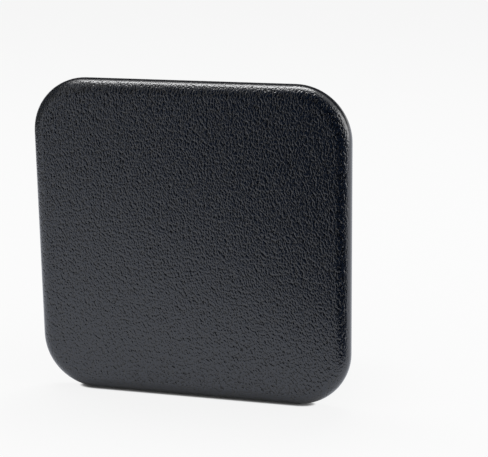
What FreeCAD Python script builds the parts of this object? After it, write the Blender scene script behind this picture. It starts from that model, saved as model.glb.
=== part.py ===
import FreeCAD, Part
import Sketcher
import os

# Hitch receiver cover, moulded in one piece, in millimetres.
#
# A thin square plate with rounded corners, and behind it a hollow plug with drafted walls.
# Saw-tooth fins around the plug hold the cover by friction alone where it is pushed in.
#
# Frame: +X to the right and +Z up as the plate is seen from the front, +Y from plate to plug.
# The origin is on the plug's axis, in the back face of the plate, which is the seat.

# Driving sizes: alias, value in millimetres (the draft in degrees), what it measures
SIZES = [
    ("receiver_opening", 50.8, "inside width of the two-inch receiver"),
    ("plate_overhang", 12.6, "reach of the plate past the receiver's inner wall"),
    ("plate_thickness", 4.0, "front face to seat"),
    ("plate_corner_radius", 13.0, "corners of the plate's outline"),
    ("front_edge_radius", 3.0, "rounding round the front face"),
    ("back_edge_radius", 0.4, "edge break round the back of the plate"),
    ("plug_clearance", 2.2, "receiver's wall to the plug's wall at the seat"),
    ("plug_length", 35.0, "seat to the plug's end"),
    ("plug_corner_radius", 5.0, "outer corners of the plug"),
    ("plug_wall", 3.0, "wall of the plug at the seat"),
    ("plug_draft", 0.75, "slope of the plug's walls, inside and outside"),
    ("plug_root_radius", 1.0, "fillet where the plug leaves the plate"),
    ("plug_lead_in", 1.2, "chamfer round the plug's end"),
    ("hollow_corner_radius", 3.0, "upright corners inside the plug"),
    ("hollow_floor_radius", 1.2, "fillet round the floor of the hollow"),
    ("fin_first", 6.0, "seat to the flat side of the first fin"),
    ("fin_pitch", 7.0, "flat side of one fin to that of the next"),
    ("fin_squeeze", 0.3, "press of a fin's tip into the receiver's wall"),
    ("fin_land", 0.8, "thickness of a fin at its tip"),
    ("fin_ramp", 2.6, "length of a fin's sloping side along the plug"),
    ("plain_end", 4.0, "least length of plug past the last fin"),
]

# Widths that follow from the driving sizes
PLATE_WIDTH = "(sizes.receiver_opening + 2 * sizes.plate_overhang)"
PLUG_WIDTH = "(sizes.receiver_opening - 2 * sizes.plug_clearance)"
PLUG_END_WIDTH = f"({PLUG_WIDTH} - 2 * sizes.plug_length * tan(sizes.plug_draft * 1deg))"
HOLLOW_WIDTH = f"({PLUG_WIDTH} - 2 * sizes.plug_wall)"
FIN_WIDTH = "(sizes.receiver_opening + 2 * sizes.fin_squeeze)"

# Places and slopes of the fins
FIN_CORNER_RADIUS = "(sizes.plug_corner_radius + sizes.plug_clearance + sizes.fin_squeeze)"
RAMP_START = "(sizes.fin_first + sizes.fin_land)"
RAMP_ANGLE = f"atan(({FIN_WIDTH} - {PLUG_END_WIDTH}) / 2 / sizes.fin_ramp)"
FIN_ROOM = f"(sizes.plug_length - sizes.plain_end - {RAMP_START} - sizes.fin_ramp)"
FIN_COUNT = f"max(1; floor({FIN_ROOM} / sizes.fin_pitch) + 1)"

# Places closer than this count as one
TOLERANCE = 1e-6


def add_sizes(document):
    """Put the driving sizes into the document's sheet."""
    sheet = document.addObject("Spreadsheet::Sheet", "sizes")
    for row, (alias, value, meaning) in enumerate(SIZES, start=1):
        sheet.set(f"A{row}", meaning)
        sheet.set(f"B{row}", str(value))
        sheet.setAlias(f"B{row}", alias)
    document.recompute()
    return sheet


def origin_feature(body, role):
    """Find one of the body's own origin planes or axes."""
    return next(item for item in body.Origin.OriginFeatures if item.Role == role)


def rounded_square(body, name, behind_seat, width, corner_radius):
    """Sketch a square with rounded corners, centred on the plug's axis."""
    sketch = body.newObject("Sketcher::SketchObject", name)
    sketch.AttachmentSupport = [(origin_feature(body, "XZ_Plane"), "")]
    sketch.MapMode = "FlatFace"
    sketch.setExpression("AttachmentOffset.Base.z", f"-{behind_seat}")

    # A rough shape first: each side, then the corner after it, counter-clockwise from the right
    half_side = 20.0
    rounding = 5.0
    straight = half_side - rounding
    quarter_turn = FreeCAD.Rotation(FreeCAD.Vector(0, 0, 1), 90)
    turn = FreeCAD.Rotation()
    for quarter in range(4):
        start = turn.multVec(FreeCAD.Vector(half_side, -straight, 0))
        end = turn.multVec(FreeCAD.Vector(half_side, straight, 0))
        centre = turn.multVec(FreeCAD.Vector(straight, straight, 0))
        corner_end = turn.multVec(FreeCAD.Vector(straight, half_side, 0))
        middle = centre + (end - centre + corner_end - centre).normalize() * rounding
        sketch.addGeometry(Part.LineSegment(start, end))
        sketch.addGeometry(Part.Arc(end, middle, corner_end))
        turn = quarter_turn.multiply(turn)

    # Then the constraints that give it its form and size
    sides, corners = (0, 2, 4, 6), (1, 3, 5, 7)
    right, top, left, bottom = sides
    begins, ends, centre_point, origin_point = 1, 2, 3, (-1, 1)
    for side, corner, next_side in zip(sides, corners, sides[1:] + sides[:1]):
        sketch.addConstraint(Sketcher.Constraint("Tangent", side, ends, corner, begins))
        sketch.addConstraint(Sketcher.Constraint("Tangent", corner, ends, next_side, begins))
    for side in (right, left):
        sketch.addConstraint(Sketcher.Constraint("Vertical", side))
    for side in (top, bottom):
        sketch.addConstraint(Sketcher.Constraint("Horizontal", side))
    for corner in corners[1:]:
        sketch.addConstraint(Sketcher.Constraint("Equal", corners[0], corner))
    sketch.addConstraint(Sketcher.Constraint("Equal", right, top))
    sketch.addConstraint(
        Sketcher.Constraint("Symmetric", corners[0], centre_point, corners[2], centre_point, *origin_point))
    sizes = {
        "width": (Sketcher.Constraint("DistanceX", left, begins, right, begins, 2 * half_side), width),
        "corner_radius": (Sketcher.Constraint("Radius", corners[0], rounding), corner_radius),
    }
    for size_name, (constraint, expression) in sizes.items():
        sketch.renameConstraint(sketch.addConstraint(constraint), size_name)
        sketch.setExpression(f"Constraints.{size_name}", expression)
    body.Document.recompute()
    return sketch


def add_pad(body, name, sketch, length, into_receiver, taper="0"):
    """Raise a sketch towards the plug's end or to the front, narrowing where the taper is negative."""
    pad = body.newObject("PartDesign::Pad", name)
    pad.Profile = sketch
    pad.Reversed = into_receiver
    pad.setExpression("Length", length)
    pad.setExpression("TaperAngle", taper)
    body.Document.recompute()
    return pad


def edges_at(shape, depth, within=float("inf")):
    """Name the edges that lie at one depth along Y, no further than within from the axis."""
    names = []
    for number, edge in enumerate(shape.Edges, start=1):
        centre = edge.CenterOfMass
        depths = [vertex.Y for vertex in edge.Vertexes] + [centre.y]
        level = all(abs(place - depth) < TOLERANCE for place in depths)
        if level and max(abs(centre.x), abs(centre.z)) < within:
            names.append(f"Edge{number}")
    return names


def dress_edges(body, kind, name, edges, size_name, size):
    """Fillet or chamfer the named edges of what the body is so far."""
    finished = body.Tip
    dressing = body.newObject(f"PartDesign::{kind}", name)
    dressing.Base = (finished, edges)
    dressing.setExpression(size_name, size)
    body.Document.recompute()
    return dressing


def add_plate(body, sheet):
    """The square plate, its front edge well rounded and its back edge just broken."""
    outline = rounded_square(body, "plate_outline", "0", PLATE_WIDTH, "sizes.plate_corner_radius")
    plate = add_pad(body, "plate", outline, "sizes.plate_thickness", into_receiver=False)
    front = edges_at(plate.Shape, -sheet.plate_thickness)
    front_radius = "min(sizes.front_edge_radius; sizes.plate_thickness - 2 * sizes.back_edge_radius)"
    rounded = dress_edges(body, "Fillet", "front_edge", front, "Radius", front_radius)
    back = edges_at(rounded.Shape, 0)
    dress_edges(body, "Fillet", "back_edge", back, "Radius", "sizes.back_edge_radius")


def add_plug(body, sheet):
    """The drafted plug, still solid, with its root fillet and its lead-in."""
    outline = rounded_square(body, "plug_outline", "0", PLUG_WIDTH, "sizes.plug_corner_radius")
    plug = add_pad(body, "plug", outline, "sizes.plug_length", into_receiver=True, taper="-sizes.plug_draft")
    inside_receiver = sheet.receiver_opening / 2
    root = edges_at(plug.Shape, 0, inside_receiver)
    filleted = dress_edges(body, "Fillet", "plug_root", root, "Radius", "sizes.plug_root_radius")
    end = edges_at(filleted.Shape, sheet.plug_length, inside_receiver)
    dress_edges(body, "Chamfer", "plug_lead_in", end, "Size", "sizes.plug_lead_in")


def add_fins(body):
    """Saw-tooth fins round the plug: flat towards the plate, sloping towards the plug's end."""
    land_outline = rounded_square(body, "fin_land_outline", "sizes.fin_first", FIN_WIDTH, FIN_CORNER_RADIUS)
    land = add_pad(body, "fin_land", land_outline, "sizes.fin_land", into_receiver=True)
    ramp_outline = rounded_square(body, "fin_ramp_outline", RAMP_START, FIN_WIDTH, FIN_CORNER_RADIUS)
    slope = f"-{RAMP_ANGLE}"
    ramp = add_pad(body, "fin_ramp", ramp_outline, "sizes.fin_ramp", into_receiver=True, taper=slope)

    row = body.newObject("PartDesign::LinearPattern", "fin_row")
    row.Originals = [land, ramp]
    row.Direction = (origin_feature(body, "Y_Axis"), [""])
    row.setExpression("Occurrences", FIN_COUNT)
    row.setExpression("Length", f"sizes.fin_pitch * ({FIN_COUNT} - 1)")
    body.Tip = row
    body.Document.recompute()


def hollow_plug(body, sheet):
    """The drafted hollow, open at the plug's end, with the plate's back as its floor."""
    solid_volume = body.Shape.Volume
    outline = rounded_square(body, "hollow_outline", "0", HOLLOW_WIDTH, "sizes.hollow_corner_radius")
    hollow = body.newObject("PartDesign::Pocket", "hollow")
    hollow.Profile = outline
    hollow.setExpression("Length", "sizes.plug_length")
    hollow.setExpression("TaperAngle", "sizes.plug_draft")
    body.Document.recompute()
    least_cut = outline.Shape.BoundBox.XLength ** 2 * sheet.plug_length / 2
    if solid_volume - hollow.Shape.Volume < least_cut:
        raise RuntimeError("the hollow doesn't reach into the plug")
    inside_plug = sheet.receiver_opening / 2 - sheet.plug_clearance - sheet.plug_wall / 2
    floor = edges_at(hollow.Shape, 0, inside_plug)
    floor_radius = "min(sizes.hollow_floor_radius; sizes.hollow_corner_radius / 2)"
    dress_edges(body, "Fillet", "hollow_floor", floor, "Radius", floor_radius)


def build_cover(document, sheet):
    """The whole cover, one moulded solid."""
    body = document.addObject("PartDesign::Body", "receiver_cover")
    body.Label = "receiver_cover"
    add_plate(body, sheet)
    add_plug(body, sheet)
    add_fins(body)
    hollow_plug(body, sheet)
    body.Placement = FreeCAD.Placement()
    document.recompute()
    return body


def check(document, body):
    """Stop if any object failed or the cover isn't one sound solid."""
    for item in document.Objects:
        if "Invalid" in item.State or "Error" in item.State:
            raise RuntimeError(f"{item.Name} failed: {item.State}")
    shape = body.Shape
    if shape.isNull() or not shape.isValid() or len(shape.Solids) != 1:
        raise RuntimeError(f"{body.Label} isn't one sound solid")


cover_document = FreeCAD.newDocument("hitch_receiver_cover")
cover_sizes = add_sizes(cover_document)
cover = build_cover(cover_document, cover_sizes)
check(cover_document, cover)
os.makedirs("parts", exist_ok=True)
cover.Shape.exportStep(f"parts/{cover.Label}.step")
box = cover.Shape.optimalBoundingBox(False)
print(f"{cover.Label}: {box.XLength:.2f} x {box.YLength:.2f} x {box.ZLength:.2f} mm,"
      f" {cover.Shape.Volume:.1f} mm3, {len(cover.Shape.Faces)} faces")
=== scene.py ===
import bmesh
import bpy
import math
from mathutils import Matrix, Vector


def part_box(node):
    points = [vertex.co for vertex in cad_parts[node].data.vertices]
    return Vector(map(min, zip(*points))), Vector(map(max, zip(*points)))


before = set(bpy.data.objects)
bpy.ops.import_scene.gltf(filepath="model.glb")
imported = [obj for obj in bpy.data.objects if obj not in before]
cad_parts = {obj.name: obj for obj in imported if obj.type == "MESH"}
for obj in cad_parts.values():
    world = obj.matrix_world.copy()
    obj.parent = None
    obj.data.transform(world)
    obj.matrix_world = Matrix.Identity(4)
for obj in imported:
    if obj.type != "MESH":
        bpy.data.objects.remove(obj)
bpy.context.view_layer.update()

MM = 0.001

# The plate's own places, from the frame: front face, right edge, lower edge on the floor, and height
cover_low, cover_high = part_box("receiver_cover")
FACE_LEVEL = cover_low.y
RIGHT_EDGE = cover_high.x
FLOOR_LEVEL = cover_low.z
PLATE_HEIGHT = cover_high.z - cover_low.z

# The photograph's view of the plate, in degrees and lengths from the plug's axis at the seat
VIEW_AZIMUTH = 15.40
VIEW_ELEVATION = 15.02
VIEW_ROLL = -0.80
VIEW_DISTANCE = 358.65 * MM
AIM_RIGHT = 11.93 * MM
AIM_UP = 2.85 * MM
LENS = 112.76
NEAREST_SEEN = 10 * MM

# Leather grain of the face: small cells, longer than wide and leaning over, pulled about by a slow warp
GRAIN_SIZE = 0.5 * MM
GRAIN_LEAN = math.radians(-24)
GRAIN_SQUEEZE = (1.25, 1.0, 0.75)
GRAIN_DEPTH = 0.125 * MM
PIT_SHARE = 1.25
FINE_SIZE = 0.24 * MM
FINE_DETAIL = 2.0
FINE_SHARE = 0.2
WARP_SIZE = 1.0 * MM
WARP_DETAIL = 2.0
WARP_REACH = 0.7 * MM
VALLEY_FROM = 0.3
VALLEY_TO = 0.7

# How far behind the face the grain begins to fade, and where it is gone
FADE_FROM = 0.1 * MM
FADE_TO = 2.4 * MM

# Smooth satin of the side wall, the back and the plug
SATIN_SIZE = 1.1 * MM
SATIN_DETAIL = 4.0
SATIN_SHARE = 0.08

# Gloss: roughness of the grain and of the satin, and its slow drift over the moulding
GRAIN_ROUGHNESS = 0.18
SATIN_ROUGHNESS = 0.22
ROUGHNESS_DRIFT = 0.06
DRIFT_SIZE = 22 * MM
DRIFT_DETAIL = 3.0
NOISE_MIDDLE = 0.5
GLOSS_INDEX = 1.65

# Black tones: the grain tops, with painted cool light and shade; the valleys, with painted shade; and
# the satin
COOL_LIT_RIDGE_TONE = (0.0034, 0.0066, 0.0145, 1.0)
PAINTED_VALLEY_SHADE = (0.0008, 0.0015, 0.0032, 1.0)
SATIN_TONE = (0.0085, 0.0093, 0.0115, 1.0)

# The studio: the light all round, how white it is where it is seen, and the floor's width and paint
WORLD_LEVEL = 0.55
WORLD_SEEN = 0.95
WHITE = (1.0, 1.0, 1.0, 1.0)
FLOOR_WIDTH = 12.0
FLOOR_PAINT = (0.80, 0.80, 0.80, 1.0)

# The floor's lift to white: its glow to the camera, its cooler glow in the plate, and the glow's share
FLOOR_GLOW = (0.96, 0.96, 0.96, 1.0)
MIRRORED_GLOW = (0.98, 1.02, 1.12, 1.0)
FLOOR_LIFT = 0.9

# Shade on the floor: its reach as seen and as mirrored, and how open the floor is at its core and rim
CONTACT_REACH = 0.9 * MM
MIRRORED_REACH = 20 * MM
SHADE_FULL = 0.3
SHADE_ENDS = 0.9
SHADE_SAMPLES = 16

# Soft lamps that face the plug's axis at the seat: place, width and height, and power in watts
LAMPS = {
    # Over the plate and a little behind it, for the bright line along the upper edge
    "top_lamp": {
        "place": (-80 * MM, 167 * MM, 635 * MM),
        "size": (500 * MM, 180 * MM),
        "power": 3.2,
    },
    # Out to the right, for the bright line down the right edge
    "right_lamp": {
        "place": (500 * MM, 60 * MM, 150 * MM),
        "size": (400 * MM, 360 * MM),
        "power": 1.5,
    },
}

# Cards that show only as reflections: the ends in plan, the foot over the floor, the height and the tone
CARDS = {
    # Aslant in front and nearest on the right, so that the face darkens upwards and to the right
    "front_card": {
        "near": (RIGHT_EDGE + 34 * MM, FACE_LEVEL + 2 * MM),
        "far": (-140 * MM, -255 * MM),
        "foot": 0.0,
        "height": 500 * MM,
        "tone": (0.016, 0.022, 0.038, 1.0),
    },
    # Out to the left, so that the left edge turns dark quickly
    "left_card": {
        "near": (-260 * MM, -180 * MM),
        "far": (-260 * MM, 250 * MM),
        "foot": 0.0,
        "height": 350 * MM,
        "tone": (0.12, 0.12, 0.12, 1.0),
    },
    # Behind the plate and higher than it, for the dark line over the bright one on the upper edge
    "back_card": {
        "near": (200 * MM, 100 * MM),
        "far": (-250 * MM, 100 * MM),
        "foot": PLATE_HEIGHT + 12 * MM,
        "height": 110 * MM,
        "tone": (0.02, 0.02, 0.02, 1.0),
    },
}


class Socket:
    """A shader value that takes part in plain Python sums; each sum adds its Math node."""

    def __init__(self, tree, output=None):
        self.tree = tree
        self.output = output

    def node(self, kind, settings=None, inputs=None, result=0):
        """Add a node: its settings first, then a value or a link for each named socket."""
        made = self.tree.nodes.new(kind)
        for name, value in (settings or {}).items():
            setattr(made, name, value)
        for name, value in (inputs or {}).items():
            if isinstance(value, Socket):
                self.tree.links.new(value.output, made.inputs[name])
            else:
                made.inputs[name].default_value = value
        return None if result is None else Socket(self.tree, made.outputs[result])

    def math(self, operation, first, second):
        return self.node("ShaderNodeMath", {"operation": operation}, {0: first, 1: second})

    def __add__(self, other):
        return self.math("ADD", self, other)

    def __radd__(self, other):
        return self.math("ADD", other, self)

    def __sub__(self, other):
        return self.math("SUBTRACT", self, other)

    def __rsub__(self, other):
        return self.math("SUBTRACT", other, self)

    def __mul__(self, other):
        return self.math("MULTIPLY", self, other)

    def __rmul__(self, other):
        return self.math("MULTIPLY", other, self)


def new_material(name):
    """An empty node material and a socket to start its sums from."""
    material = bpy.data.materials.new(name)
    material.use_nodes = True
    material.node_tree.nodes.clear()
    return material, Socket(material.node_tree)


def ramp(value, low, high):
    """A smooth step from zero to one as value goes from low to high."""
    return value.node(
        "ShaderNodeMapRange",
        {"interpolation_type": "SMOOTHSTEP"},
        {"Value": value, "From Min": low, "From Max": high},
    )


def noise(place, size, detail, result="Fac"):
    """Soft noise with blotches about as wide as size."""
    return place.node(
        "ShaderNodeTexNoise", {}, {"Vector": place, "Scale": 1.0 / size, "Detail": detail}, result)


def blend(factor, first, second):
    """A colour that goes from first to second as factor goes from zero to one."""
    return factor.node(
        "ShaderNodeMix", {"data_type": "RGBA"}, {"Factor": factor, "A": first, "B": second}, "Result")


def black_moulding():
    """Black moulded plastic: leather grain on the face and its rounded edge, smooth satin elsewhere."""
    material, start = new_material("black_moulding")
    place = start.node("ShaderNodeTexCoord", result="Object")

    # Each cell of the grain is a low flat top, and the cells meet in narrow valleys
    warped = start.node(
        "ShaderNodeVectorMath",
        {"operation": "MULTIPLY_ADD"},
        {0: noise(place, WARP_SIZE, WARP_DETAIL, "Color"), 1: [WARP_REACH] * 3, 2: place},
        "Vector",
    )
    leaned = start.node(
        "ShaderNodeMapping",
        {"vector_type": "POINT"},
        {"Vector": warped, "Rotation": (0.0, GRAIN_LEAN, 0.0), "Scale": GRAIN_SQUEEZE},
        "Vector",
    )
    pits = start.node(
        "ShaderNodeTexVoronoi",
        {"feature": "F1"},
        {"Vector": leaned, "Scale": 1.0 / GRAIN_SIZE, "Randomness": 1.0},
        "Distance",
    )
    fine_grain = FINE_SHARE * noise(warped, FINE_SIZE, FINE_DETAIL)
    grain_height = fine_grain - PIT_SHARE * pits * pits * pits

    # The grain fades out over the rounded front edge, and the satin takes its place
    depth = start.node("ShaderNodeSeparateXYZ", {}, {"Vector": place}, "Y")
    smooth = ramp(depth, FACE_LEVEL + FADE_FROM, FACE_LEVEL + FADE_TO)
    grained = 1.0 - smooth
    satin_height = SATIN_SHARE * noise(place, SATIN_SIZE, SATIN_DETAIL)
    height = grained * grain_height + smooth * satin_height
    normal = start.node(
        "ShaderNodeBump", {}, {"Height": height, "Strength": 1.0, "Distance": GRAIN_DEPTH}, "Normal")

    # The valleys are darker than the tops as painted shade, and the gloss drifts slowly over the whole
    # moulding
    grain_tone_with_painted_shade = blend(ramp(pits, VALLEY_FROM, VALLEY_TO), COOL_LIT_RIDGE_TONE, PAINTED_VALLEY_SHADE)
    # The grained face is painted bluer and darker than the satin of the same plastic, as cool light and
    # shade
    tone = blend(smooth, grain_tone_with_painted_shade, SATIN_TONE)
    drift = noise(place, DRIFT_SIZE, DRIFT_DETAIL) - NOISE_MIDDLE
    roughness = grained * GRAIN_ROUGHNESS + smooth * SATIN_ROUGHNESS + ROUGHNESS_DRIFT * drift

    surface = start.node(
        "ShaderNodeBsdfPrincipled",
        {},
        {"Base Color": tone, "Roughness": roughness, "Normal": normal, "IOR": GLOSS_INDEX},
        "BSDF",
    )
    start.node("ShaderNodeOutputMaterial", {}, {"Surface": surface}, None)
    return material


def seen_by_camera(start):
    """One for a ray from the camera; zero for other rays."""
    return start.node("ShaderNodeLightPath", result="Is Camera Ray")


def seen_mirrored(start):
    """One for a ray that a glossy or clear surface sends on; zero for other rays."""
    glossy_ray = start.node("ShaderNodeLightPath", result="Is Glossy Ray")
    clear_ray = start.node("ShaderNodeLightPath", result="Is Transmission Ray")
    return start.math("MAXIMUM", glossy_ray, clear_ray)


def clear_of_shade(start, reach):
    """Zero where the floor is closed in by what stands within reach of it, one in the open."""
    openness = start.node(
        "ShaderNodeAmbientOcclusion", {"samples": SHADE_SAMPLES}, {"Distance": reach}, "AO")
    return ramp(openness, SHADE_FULL, SHADE_ENDS)


def white_floor():
    """Matt pale floor, lifted towards white where it is seen, but not close to the plate."""
    material, start = new_material("white_floor")
    paint = start.node("ShaderNodeBsdfDiffuse", {}, {"Color": FLOOR_PAINT}, "BSDF")
    mirrored = seen_mirrored(start)
    glow_tone = blend(mirrored, FLOOR_GLOW, MIRRORED_GLOW)
    glow = start.node("ShaderNodeEmission", {}, {"Color": glow_tone, "Strength": 1.0}, "Emission")
    to_camera = seen_by_camera(start) * clear_of_shade(start, CONTACT_REACH)
    to_plate = mirrored * clear_of_shade(start, MIRRORED_REACH)
    lift = FLOOR_LIFT * (to_camera + to_plate)
    surface = start.node("ShaderNodeMixShader", {}, {0: lift, 1: paint, 2: glow}, "Shader")
    start.node("ShaderNodeOutputMaterial", {}, {"Surface": surface}, None)
    return material


def card_paint(name, tone):
    """Matt paint of one card."""
    material, start = new_material(name)
    surface = start.node("ShaderNodeBsdfDiffuse", {}, {"Color": tone}, "BSDF")
    start.node("ShaderNodeOutputMaterial", {}, {"Surface": surface}, None)
    return material


def add_panel(name, place, width, height, material):
    """A flat panel of the studio, centred on place and square to its Z axis."""
    shape = bmesh.new()
    half_size = Matrix.Diagonal((width / 2.0, height / 2.0, 1.0, 1.0))
    bmesh.ops.create_grid(shape, x_segments=1, y_segments=1, size=1.0, matrix=place @ half_size)
    panel = bpy.data.objects.new(name, bpy.data.meshes.new(name))
    shape.to_mesh(panel.data)
    shape.free()
    panel.data.materials.append(material)
    bpy.context.scene.collection.objects.link(panel)
    return panel


def add_floor():
    """A wide floor that the plate's lower edge stands on."""
    level = Matrix.Translation((0.0, 0.0, FLOOR_LEVEL))
    add_panel("floor", level, FLOOR_WIDTH, FLOOR_WIDTH, white_floor())


def add_card(name, near, far, foot, height, tone):
    """An upright card between two points of the floor plan, seen by reflections and by nothing else."""
    run = Vector(far) - Vector(near)
    middle = (Vector(near) + Vector(far)) / 2.0
    centre = Matrix.Translation((middle.x, middle.y, FLOOR_LEVEL + foot + height / 2.0))
    along = Matrix.Rotation(math.atan2(run.y, run.x), 4, "Z")
    upright = Matrix.Rotation(math.pi / 2.0, 4, "X")
    card = add_panel(name, centre @ along @ upright, run.length, height, card_paint(name, tone))
    card.visible_camera = False
    card.visible_diffuse = False
    card.visible_shadow = False


def add_lamp(name, place, size, power):
    """A soft lamp, wide and flat, that faces the plug's axis at the seat."""
    lamp = bpy.data.lights.new(name, "AREA")
    lamp.shape = "RECTANGLE"
    lamp.size, lamp.size_y = size
    lamp.energy = power
    holder = bpy.data.objects.new(name, lamp)
    holder.location = place
    holder.rotation_mode = "QUATERNION"
    holder.rotation_quaternion = (-Vector(place)).to_track_quat("-Z", "Y")
    bpy.context.scene.collection.objects.link(holder)


def add_world():
    """Even light all round, which is white where it is seen."""
    world = bpy.data.worlds.new("studio")
    world.use_nodes = True
    world.node_tree.nodes.clear()
    start = Socket(world.node_tree)
    seen = seen_by_camera(start) + seen_mirrored(start)
    strength = WORLD_LEVEL + (WORLD_SEEN - WORLD_LEVEL) * seen
    background = start.node(
        "ShaderNodeBackground", {}, {"Color": WHITE, "Strength": strength}, "Background")
    start.node("ShaderNodeOutputWorld", {}, {"Surface": background}, None)
    bpy.context.scene.world = world


def add_camera():
    """The photograph's viewpoint, worked out from the plate's four edges."""
    azimuth, elevation, roll = map(math.radians, (VIEW_AZIMUTH, VIEW_ELEVATION, VIEW_ROLL))
    back = Vector((
        math.sin(azimuth) * math.cos(elevation),
        -math.cos(azimuth) * math.cos(elevation),
        math.sin(elevation),
    ))
    level_right = Vector((0.0, 0.0, 1.0)).cross(back).normalized()
    level_up = back.cross(level_right)
    right = math.cos(roll) * level_right + math.sin(roll) * level_up
    up = back.cross(right)
    place = AIM_RIGHT * right + AIM_UP * up + VIEW_DISTANCE * back
    turn = Matrix((right, up, back)).transposed().to_4x4()
    camera = bpy.data.objects.new("camera", bpy.data.cameras.new("camera"))
    camera.data.lens = LENS
    camera.data.clip_start = NEAREST_SEEN
    camera.matrix_world = Matrix.Translation(place) @ turn
    bpy.context.scene.collection.objects.link(camera)
    bpy.context.scene.camera = camera


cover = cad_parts["receiver_cover"]
cover.data.materials.clear()
cover.data.materials.append(black_moulding())

add_floor()
for card_name, card in CARDS.items():
    add_card(card_name, **card)
for lamp_name, lamp in LAMPS.items():
    add_lamp(lamp_name, **lamp)
add_world()
add_camera()
bpy.context.scene.view_settings.view_transform = "Standard"
